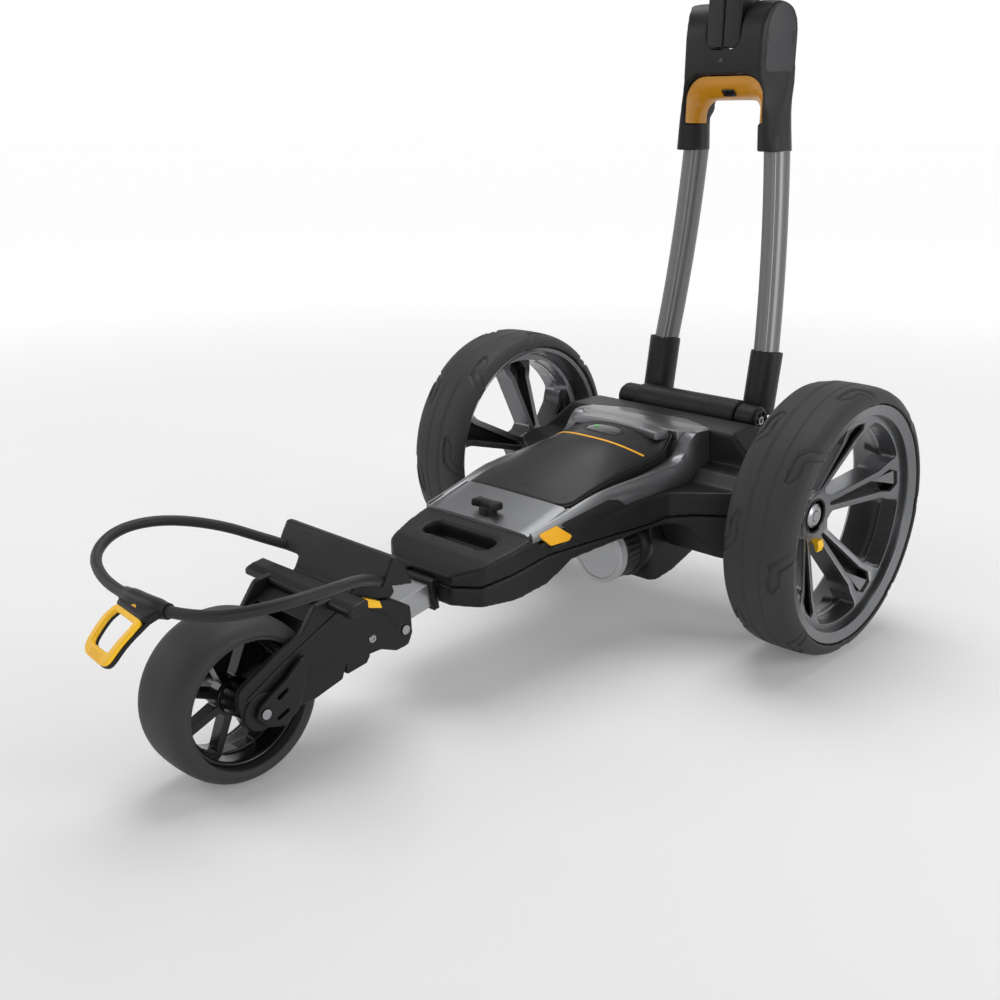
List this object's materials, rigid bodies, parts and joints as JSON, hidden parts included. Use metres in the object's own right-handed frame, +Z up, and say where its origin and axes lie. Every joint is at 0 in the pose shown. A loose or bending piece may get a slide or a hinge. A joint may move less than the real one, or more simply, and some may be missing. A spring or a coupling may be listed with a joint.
{
  "type": "golf push trolley",
  "caption": "Compact folding electric golf trolley: two large rear wheels, small front wheel, battery deck, bag cradle with strap, and a two-stage folding handle.",
  "frame": {"origin": "on the ground, at the middle of the trolley's width and length without the bag strap", "axes": "+Z up, -Y towards the front wheel, +X towards the rear wheel beside the motor"},
  "size_m": [0.5898, 0.9599, 1.014],
  "materials": {
    "shell_black": "fine textured matte black",
    "deck_silver": "silver metallic paint",
    "battery_black": "soft matte black",
    "badge_yellow": "yellow satin",
    "motor_black": "black anodised",
    "motor_cap": "light grey moulded",
    "steel": "machined steel",
    "bearing": "bearing steel",
    "board_green": "circuit board",
    "tyre_rubber": "moulded tread rubber",
    "rim_silver": "silver metallic paint with a polished lip",
    "front_rim_black": "gloss black",
    "yellow_plastic": "yellow gloss",
    "strap_rubber": "smooth black rubber",
    "tube_silver": "satin dark silver anodised",
    "latch_amber": "deep amber satin",
    "spring_steel": "spring steel",
    "cap_grey": "mid grey satin",
    "stem_black": "satin black",
    "grip_rubber": "soft black rubber",
    "screen_black": "dark gloss screen",
    "button_red": "satin red"
  },
  "bodies": {
    "chassis": {"lower_shell": "shell_black", "upper_shell": "shell_black", "deck_panel": "deck_silver", "side_badges": "badge_yellow", "stow_catch": "battery_black", "motor_can": "motor_black", "motor_end_cap": "motor_cap", "gearbox_case": "shell_black", "axle_bearings": "bearing", "control_board": "board_green", "battery_socket": "shell_black", "boom_tube": "tube_silver", "boom_collar": "shell_black", "case_screws": "steel", "hinge_pin": "steel", "hinge_knuckles": "shell_black", "hinge_caps": "cap_grey"},
    "battery": {"battery_pack": "battery_black", "battery_tab": "deck_silver"},
    "indicator": {"indicator_button": "battery_black"},
    "drive_axle": {"axle_shaft": "steel", "worm_wheel": "cap_grey"},
    "motor_shaft": {"worm_shaft": "steel"},
    "wheel_left": {"rear_tyre_left": "tyre_rubber", "rear_rim_left": "rim_silver", "hub_ring_left": "steel"},
    "wheel_right": {"rear_tyre_right": "tyre_rubber", "rear_rim_right": "rim_silver", "hub_ring_right": "steel"},
    "release_left": {"wheel_release_left": "yellow_plastic"},
    "release_right": {"wheel_release_right": "yellow_plastic"},
    "front_fork": {"fork_housing": "shell_black", "front_axle": "steel", "fork_pin": "steel", "front_hub_caps": "cap_grey", "bag_cradle": "shell_black", "bag_strap": "strap_rubber", "strap_sleeve": "battery_black", "strap_hook": "yellow_plastic"},
    "axle_lever": {"tracking_lever": "battery_black"},
    "fork_latch": {"fork_release": "yellow_plastic"},
    "front_wheel": {"front_tyre": "tyre_rubber", "front_rim": "front_rim_black", "front_bushes": "bearing"},
    "lower_handle": {"hinge_barrel": "shell_black", "handle_sockets": "shell_black", "handle_tube_left": "tube_silver", "handle_tube_right": "tube_silver", "yoke": "shell_black", "yoke_caps": "cap_grey", "latch_springs": "spring_steel"},
    "stem_latch": {"yoke_latch": "latch_amber"},
    "upper_handle": {"upper_stem": "stem_black", "stem_pin": "steel", "upper_bag_support": "shell_black", "handle_head": "shell_black", "grips": "grip_rubber", "display": "screen_black"},
    "dial": {"speed_dial": "cap_grey"},
    "power": {"power_button": "button_red"}
  },
  "joints": [
    {"name": "lower_fold", "type": "hinge", "parent": "chassis", "child": "lower_handle", "pos_m": [0, 0.36265, 0.238], "axis": [1, 0, 0], "range_deg": [0, 100]},
    {"name": "upper_fold", "type": "hinge", "parent": "lower_handle", "child": "upper_handle", "pos_m": [0, 0.41565, 0.697], "axis": [-1, 0, 0], "range_deg": [0, 165]},
    {"name": "fork_fold", "type": "hinge", "parent": "chassis", "child": "front_fork", "pos_m": [0, -0.19035, 0.108], "axis": [1, 0, 0], "range_deg": [0, 120]},
    {"name": "wheel_left_spin", "type": "hinge", "parent": "chassis", "child": "wheel_left", "pos_m": [-0.2509, 0.28765, 0.1587], "axis": [1, 0, 0], "continuous": true},
    {"name": "wheel_right_spin", "type": "hinge", "parent": "chassis", "child": "wheel_right", "pos_m": [0.2509, 0.28765, 0.1587], "axis": [1, 0, 0], "continuous": true},
    {"name": "axle_spin", "type": "hinge", "parent": "chassis", "child": "drive_axle", "pos_m": [0, 0.28765, 0.1587], "axis": [1, 0, 0], "continuous": true},
    {"name": "motor_spin", "type": "hinge", "parent": "chassis", "child": "motor_shaft", "pos_m": [0.04, 0.22165, 0.104], "axis": [0, 1, 0], "continuous": true},
    {"name": "front_wheel_spin", "type": "hinge", "parent": "front_fork", "child": "front_wheel", "pos_m": [0, -0.37125, 0.0834], "axis": [1, 0, 0], "continuous": true},
    {"name": "wheel_left_release", "type": "slide", "parent": "wheel_left", "child": "release_left", "axis": [0, 0, 1], "range_m": [0, 0.003], "stiffness_N_per_m": 400},
    {"name": "wheel_right_release", "type": "slide", "parent": "wheel_right", "child": "release_right", "axis": [0, 0, 1], "range_m": [0, 0.003], "stiffness_N_per_m": 400},
    {"name": "fork_release_pull", "type": "slide", "parent": "front_fork", "child": "fork_latch", "axis": [0, 0, 1], "range_m": [0, 0.003], "stiffness_N_per_m": 300},
    {"name": "axle_lever_turn", "type": "hinge", "parent": "front_fork", "child": "axle_lever", "pos_m": [0.0563, -0.37125, 0.0834], "axis": [1, 0, 0], "range_deg": [-8, 8]},
    {"name": "latch_lift", "type": "slide", "parent": "lower_handle", "child": "stem_latch", "axis": [0, 0, -1], "range_m": [-0.008, 0], "stiffness_N_per_m": 150, "deforming": ["latch_springs"]},
    {"name": "battery_lift", "type": "slide", "parent": "chassis", "child": "battery", "axis": [0, 0, -1], "range_m": [-0.06, 0]},
    {"name": "indicator_press", "type": "slide", "parent": "battery", "child": "indicator", "axis": [0, 0, -1], "range_m": [0, 0.0012], "stiffness_N_per_m": 500},
    {"name": "dial_turn", "type": "hinge", "parent": "upper_handle", "child": "dial", "pos_m": [0, 0.44065, 0.971], "axis": [1, 0, 0], "range_deg": [0, 270]},
    {"name": "power_press", "type": "slide", "parent": "upper_handle", "child": "power", "axis": [0, 0, -1], "range_m": [0, 0.001], "stiffness_N_per_m": 500}
  ],
  "couplings": [
    {"joint": "upper_fold", "follows": "lower_fold", "ratio": 1.65},
    {"joint": "motor_spin", "follows": "axle_spin", "ratio": 25}
  ]
}
